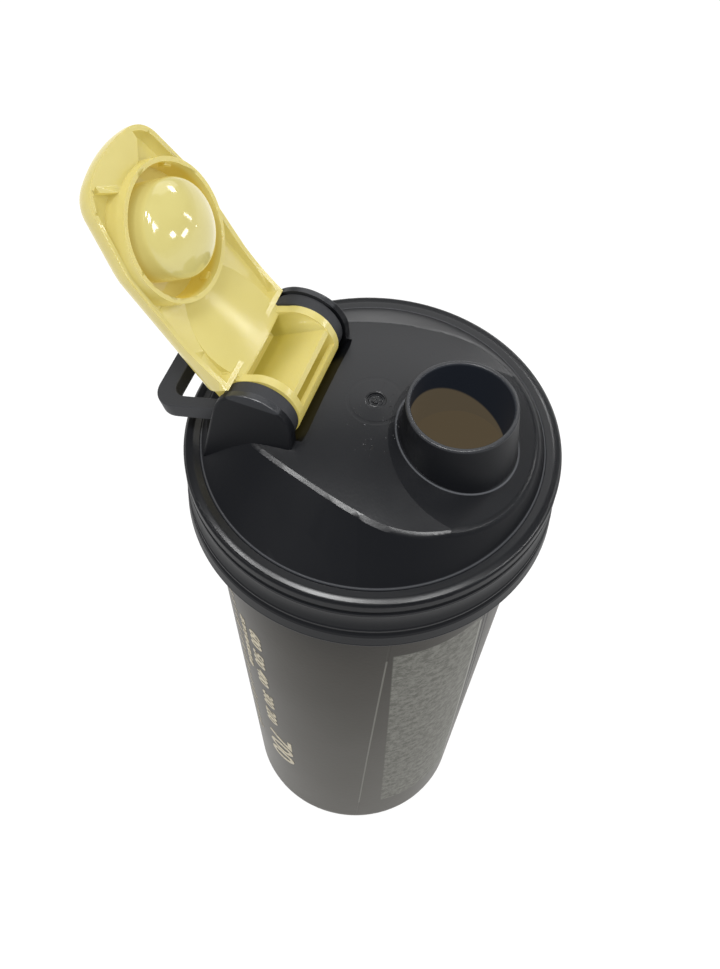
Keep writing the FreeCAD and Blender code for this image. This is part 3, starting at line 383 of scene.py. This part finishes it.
def plug_finish():
    """Glossier, paler yellow, with a painted glow that is deeper amber round the foot of the dome."""
    finish = Finish("plug_gloss_yellow", Roughness=0.12, Coat_Weight=0.5, Coat_Roughness=0.04,
                    Emission_Strength=1.0)
    _, depth, off_ring = cap_place(finish)
    cloud = finish.noise(120, 3).step(0.3, 0.75)
    finish.set("Base Color", finish.mix(cloud, PLUG_LIGHT, PLUG_DARK))
    foot = depth.step(*PLUG_FOOT_DEPTH) * off_ring.step(*PLUG_FOOT_REACH)
    # Painted glow, deeper amber round the foot of the dome.
    finish.set("Emission Color", finish.mix(foot, PLUG_GLOW, PLUG_FOOT_GLOW))
    finish.set("Normal", finish.bump(finish.noise(160, 3), 0.05 * MM))
    return finish


def loop_finish():
    finish = Finish("loop_matte_grey", Base_Color=LOOP_GREY, Specular_IOR_Level=0.16)
    finish.set("Roughness", 0.42 + finish.noise(90, 3) * 0.16)
    finish.set("Normal", finish.bump(finish.noise(1600, 2), 0.03 * MM))
    return finish


def cup_finish():
    """Smoke grey plastic, painted lighter near the floor and darker in shade under the lid, with a lighter mottled
    panel beside the spout side and a painted glow inside.
    """
    finish = Finish("cup_smoke_grey", Emission_Strength=1.0, Specular_IOR_Level=0.06, Sheen_Weight=0.06,
                    Sheen_Roughness=0.3, Sheen_Tint=(1, 0.93, 0.8))
    x, y, z = finish.axes()
    angle = finish.angle(x, y)
    tilt = (z - TILT_LEVEL) / TILT_SPAN
    past_start = angle - (PANEL_START - tilt * START_TILT)
    past_end = angle - (PANEL_END - tilt * END_TILT)
    panel = past_start.step(0, PANEL_SOFT) * past_end.step(PANEL_SOFT, 0)
    panel = panel * z.band(PANEL_LOW, PANEL_HIGH, 0.8 * MM)
    flat = finish.node("ShaderNodeCombineXYZ", {}, {0: angle * 0.7, 1: z / MM})
    rows = finish.noise(0.42, 4, 0.65, flat) * 0.7 + finish.noise(1.6, 2, 0.5, flat) * 0.3
    mottle = finish.mix(rows.step(0.38, 0.62), PANEL_DARK, PANEL_LIGHT)
    border = past_end.near(BORDER_END, 0.35, 0.35)
    border = border + (angle - BORDER_START - tilt * START_TILT).near(0, 0.2, 0.3) * 0.5
    first, second = (past_end.near(*groove) for groove in GROOVES)
    grooves = (first + second) * z.step(*GROOVES_FADE)
    # Painted light and shade: lighter near the floor, darker under the lid.
    body = finish.mix(z.step(*CUP_PAINTED_SHADE), CUP_LOW_LIT, CUP_HIGH_SHADED)
    body = finish.mix(panel * 0.9, body, mottle)
    line = border * z.band(PANEL_LOW, PANEL_HIGH - 3 * MM, 1 * MM) * 0.8
    body = finish.mix(line, body, BORDER_GREY)
    # Painted shade: the grooves are painted near black.
    finish.set("Base Color", finish.mix(grooves * 0.9, body, GROOVE_SHADE))
    # Painted glow: the inside of the cup glows with light that comes through its wall.
    inside = (finish.length(x, y) - z * CUP_TAPER).step(CUP_INSIDE + 0.5 * MM, CUP_INSIDE)
    finish.set("Emission Color", finish.mix(inside, BLACK, CUP_GLOW))
    finish.set("Roughness", 0.3 + finish.noise(30, 3) * 0.1 + panel * 0.12)
    finish.set("Normal", finish.bump(finish.noise(700, 2) * 0.1 - grooves - border * 0.4, 0.2 * MM))
    return finish


def print_finish():
    """Dull gold ink, a little worn."""
    finish = Finish("print_gold", Specular_IOR_Level=0.3)
    worn = finish.noise(500, 3).step(0.42, 0.62)
    finish.set("Base Color", finish.mix(worn, GOLD_WORN, GOLD))
    finish.set("Roughness", 0.36 + worn * 0.14)
    return finish


def seal_finish():
    finish = Finish("seal_silicone", Base_Color=SILICONE)
    finish.set("Roughness", 0.45 + finish.noise(400, 2) * 0.15)
    return finish


def wire_finish():
    finish = Finish("steel_wire_polished", Base_Color=STEEL, Metallic=1.0)
    finish.set("Roughness", 0.14 + finish.noise(300, 2) * 0.14)
    return finish


def coat(thing, finish):
    thing.data.materials.clear()
    thing.data.materials.append(finish.material)


def new_object(name, data):
    item = bpy.data.objects.new(name, data)
    bpy.context.collection.objects.link(item)
    return item


class Skin:
    """The true surface of a CAD piece, for its places and normals."""

    def __init__(self, mesh):
        self.mesh = mesh
        self.places = [vertex.co.copy() for vertex in mesh.vertices]
        self.tree = BVHTree.FromPolygons(self.places, [tuple(face.vertices) for face in mesh.polygons])

    def normal(self, corner, face):
        """Normal of the surface at a corner of a face that lies on it."""
        inside = corner.lerp(face.calc_center_median(), 0.02)
        spot, _, number, _ = self.tree.find_nearest(inside)
        under = self.mesh.polygons[number]
        shares = poly_3d_calc([self.places[index] for index in under.vertices], spot)
        total = Vector()
        for share, loop in zip(shares, under.loop_indices):
            total += share * self.mesh.corner_normals[loop].vector
        return total.normalized()


def round_off(shape, width, chosen):
    """Round the chosen sharp edges, and return the faces from before."""
    sharp = [edge for edge in shape.edges
             if edge.is_manifold and edge.calc_face_angle() > SHARP
             and chosen((edge.verts[0].co + edge.verts[1].co) / 2)]
    made = bmesh.ops.bevel(shape, geom=sharp, offset=width, offset_type="OFFSET", segments=3,
                           profile=0.5, affect="EDGES", clamp_overlap=True, material=-1)
    rounded = set(made["faces"])
    return {face for face in shape.faces if face not in rounded}


def corner_normal(skin, kept, face, corner):
    """True normal on a kept face; on a rounded edge, the mean one of the kept faces beside it."""
    if face in kept:
        return skin.normal(corner.co, face)
    beside = [skin.normal(corner.co, other) for other in corner.link_faces if other in kept]
    if not beside:
        beside = [other.normal for other in corner.link_faces]
    return sum(beside, Vector()).normalized()


def softened(node, name, body, width, flat=0.3, chosen=lambda middle: True):
    """Copy of a CAD piece with its sharp edges rounded, standing for the piece.

    flat is the angle in degrees under which faces count as one face, and chosen
    tells from the middle of an edge whether the edge is rounded.
    """
    source = frame["nodes"][node].data
    skin = Skin(source)
    mesh = source.copy()
    mesh.name = name
    shape = bmesh.new()
    shape.from_mesh(mesh)
    bmesh.ops.remove_doubles(shape, verts=shape.verts, dist=0.002 * MM)
    bmesh.ops.dissolve_limit(shape, angle_limit=math.radians(flat), verts=shape.verts, edges=shape.edges)
    kept = round_off(shape, width, chosen)
    shape.normal_update()
    normals = [corner_normal(skin, kept, face, loop.vert) for face in shape.faces for loop in face.loops]
    for face in shape.faces:
        face.smooth = True
    for edge in shape.edges:
        edge.smooth = True
    shape.to_mesh(mesh)
    shape.free()
    mesh.normals_split_custom_set(normals)
    piece = new_object(name, mesh)
    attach(piece, body)
    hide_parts(node)
    return piece


def on_lid_edge(point):
    """True for an edge of the ears, of the trough, of the spout foot or of the foot of the dome."""
    height = point.z - FLANGE_LEVEL
    if height > EARS_HEIGHT and point.y > EARS_FRONT:
        return True
    if height > SLOPE_HEIGHT:
        return SPOUT_FOOT_ZONE[0] < (point - SPOUT).xy.length < SPOUT_FOOT_ZONE[1]
    return height > DOME_HEIGHT and DOME_FOOT_ZONE[0] < point.xy.length < DOME_FOOT_ZONE[1]


def snap_lugs():
    """Three small lugs inside the ring that hold the plug."""
    mesh = bpy.data.meshes.new("snap_lugs")
    shape = bmesh.new()
    ring = Matrix.Translation((0, -RING_REACH, LUG_DEPTH))
    block = Matrix.Translation((RING_BORE, 0, 0)) @ Matrix.Diagonal((*LUG_SIZE, 1))
    for angle in LUG_ANGLES:
        turned = Matrix.Rotation(math.radians(angle), 4, "Z")
        bmesh.ops.create_cube(shape, size=1, matrix=ring @ turned @ block)
    bmesh.ops.bevel(shape, geom=shape.edges[:], offset=0.3 * MM, offset_type="OFFSET", segments=2,
                    profile=0.5, affect="EDGES", material=-1)
    bmesh.ops.recalc_face_normals(shape, faces=shape.faces)
    opened = Matrix.Translation(HINGE) @ Matrix.Rotation(-CAP_OPEN, 4, "X")
    bmesh.ops.transform(shape, matrix=opened, verts=shape.verts)
    for face in shape.faces:
        face.smooth = True
    shape.to_mesh(mesh)
    shape.free()
    piece = new_object("snap_lugs", mesh)
    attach(piece, "cap")
    return piece


def lettering(text, size):
    """Flat text with a little thickness, reading down the cup."""
    curve = bpy.data.curves.new("scale_text", "FONT")
    curve.body = text
    curve.size = size
    curve.extrude = INK_DEPTH / 2
    curve.offset = LETTER_BOLDNESS
    curve.align_x = "CENTER"
    curve.align_y = "CENTER"
    writer = new_object("scale_text", curve)
    bpy.context.view_layer.update()
    flat = bpy.data.meshes.new_from_object(writer)
    bpy.data.objects.remove(writer)
    shape = bmesh.new()
    shape.from_mesh(flat)
    bpy.data.meshes.remove(flat)
    bmesh.ops.rotate(shape, verts=shape.verts, matrix=Matrix.Rotation(-math.pi / 2, 3, "Z"))
    return shape


def bar(length):
    """Straight mark that runs round the cup."""
    shape = bmesh.new()
    bmesh.ops.create_grid(shape, x_segments=8, y_segments=1, size=0.5,
                          matrix=Matrix.Diagonal((length, BAR_WIDTH, 1, 1)))
    made = bmesh.ops.extrude_face_region(shape, geom=shape.faces[:])
    raised = [item for item in made["geom"] if isinstance(item, bmesh.types.BMVert)]
    bmesh.ops.translate(shape, verts=raised, vec=(0, 0, INK_DEPTH))
    return shape


def lay_on_cup(shape, wall, angle, height):
    """Wrap a flat shape on the tapered wall; its middle goes to the angle and the height."""
    bmesh.ops.triangulate(shape, faces=shape.faces)
    for _ in range(4):
        long = [edge for edge in shape.edges if edge.calc_length() > FLAT_LIMIT]
        bmesh.ops.subdivide_edges(shape, edges=long, cuts=1)
        bmesh.ops.triangulate(shape, faces=shape.faces)
    for vertex in shape.verts:
        level = height + vertex.co.y
        radius = CUP_FOOT + CUP_TAPER * level
        turn = math.radians(angle) + vertex.co.x / radius
        way = Vector((math.cos(turn), math.sin(turn), 0))
        spot = wall.ray_cast(way * 2 * radius + Vector((0, 0, level)), -way)[0]
        vertex.co = spot + way * (vertex.co.z + INK_LIFT)


def scale_marks():
    """Measuring scale: numbers down the side and marks beside them, laid on the cup."""
    wall = Skin(frame["nodes"]["cup"].data).tree
    shapes = []
    for text, size, angle, height in SCALE_TEXTS:
        shapes.append(lettering(text, size))
        lay_on_cup(shapes[-1], wall, angle, height)
    for count in range(BAR_COUNT):
        shapes.append(bar(SHORT_BAR if count % LONG_EVERY else LONG_BAR))
        lay_on_cup(shapes[-1], wall, BAR_ANGLE, BAR_START + count * BAR_STEP)
    return shapes


def scale_print(name, shapes):
    """One printed piece on the cup made of all its marks and numbers."""
    mesh = bpy.data.meshes.new(name)
    whole = bmesh.new()
    for shape in shapes:
        part = bpy.data.meshes.new("part")
        shape.to_mesh(part)
        shape.free()
        whole.from_mesh(part)
        bpy.data.meshes.remove(part)
    bmesh.ops.remove_doubles(whole, verts=whole.verts, dist=0.001 * MM)
    bmesh.ops.recalc_face_normals(whole, faces=whole.faces)
    whole.to_mesh(mesh)
    whole.free()
    piece = new_object(name, mesh)
    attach(piece, "cup")
    coat(piece, print_finish())


def set_camera():
    """Camera high beside the bottle, a little towards the spout, looking down on the lid."""
    azimuth = math.radians(-71.824)   # from the spout's side
    elevation = math.radians(56.446)
    roll = math.radians(3.047)
    distance = 369.808 * MM
    shift_left, shift_down = 3.397 * MM, 10.58 * MM
    back = Vector((math.sin(azimuth) * math.cos(elevation),
                   -math.cos(azimuth) * math.cos(elevation), math.sin(elevation)))
    level = Vector((math.cos(azimuth), math.sin(azimuth), 0))
    upright = back.cross(level)
    right = math.cos(roll) * level + math.sin(roll) * upright
    up = math.cos(roll) * upright - math.sin(roll) * level
    aim = Vector((0, 0, FLANGE_LEVEL)) - right * shift_left - up * shift_down
    data = bpy.data.cameras.new("camera")
    data.lens = 52.84
    data.sensor_width = 36
    camera = new_object("camera", data)
    facing = Matrix((right, up, back)).transposed().to_4x4()
    camera.matrix_world = Matrix.Translation(aim + back * distance) @ facing
    bpy.context.scene.camera = camera


def add_light(name, azimuth, elevation, size, power):
    """Soft light over the horizon that looks at the lid."""
    data = bpy.data.lights.new(name, "AREA")
    data.shape = "RECTANGLE"
    data.size, data.size_y = size
    data.energy = power
    azimuth, elevation = math.radians(azimuth), math.radians(elevation)
    way = Vector((math.cos(elevation) * math.cos(azimuth), math.cos(elevation) * math.sin(azimuth),
                  math.sin(elevation))) * LIGHT_DISTANCE
    light = new_object(name, data)
    light.location = Vector((0, 0, FLANGE_LEVEL)) + way
    light.rotation_euler = way.to_track_quat("Z", "Y").to_euler()


def set_floor():
    """Plain pale floor, wide enough for low views."""
    mesh = bpy.data.meshes.new("floor")
    shape = bmesh.new()
    bmesh.ops.create_grid(shape, x_segments=1, y_segments=1, size=FLOOR_REACH)
    shape.to_mesh(mesh)
    shape.free()
    floor = new_object("floor", mesh)
    coat(floor, Finish("floor_paper", Base_Color=PAPER, Roughness=0.9, Emission_Color=WHITE,
                       Emission_Strength=PAPER_GLOW))


def set_room():
    """Dim, even room, brighter towards the horizon."""
    world = bpy.data.worlds.new("room")
    bpy.context.scene.world = world
    world.use_nodes = True
    tree = world.node_tree
    background = tree.nodes["Background"]
    background.inputs["Color"].default_value = (*WHITE, 1)
    way = tree.nodes.new("ShaderNodeTexCoord")
    split = tree.nodes.new("ShaderNodeSeparateXYZ")
    fade = tree.nodes.new("ShaderNodeMapRange")
    fade.interpolation_type = "SMOOTHSTEP"
    for name, value in ROOM_FADE.items():
        fade.inputs[name].default_value = value
    tree.links.new(way.outputs["Generated"], split.inputs[0])
    tree.links.new(split.outputs[2], fade.inputs["Value"])
    tree.links.new(fade.outputs[0], background.inputs["Strength"])
    bpy.context.scene.view_settings.view_transform = "Standard"


set_camera()
set_floor()
set_room()
for light in LIGHTS:
    add_light(*light)

coat(softened("lid", "lid_shell", "lid", LID_ROUNDING, flat=0.02, chosen=on_lid_edge), lid_finish())
yellow = cap_finish()
coat(softened("flip_cap", "cap_shell", "cap", CAP_ROUNDING), yellow)
coat(snap_lugs(), yellow)
coat(softened("carry_loop", "loop_frame", "loop", LOOP_ROUNDING), loop_finish())
coat(frame["nodes"]["spout_plug"], plug_finish())
coat(frame["nodes"]["cup"], cup_finish())
coat(frame["nodes"]["seal_ring"], seal_finish())
coat(frame["nodes"]["mixing_ball"], wire_finish())
scale_print("cup_scale", scale_marks())
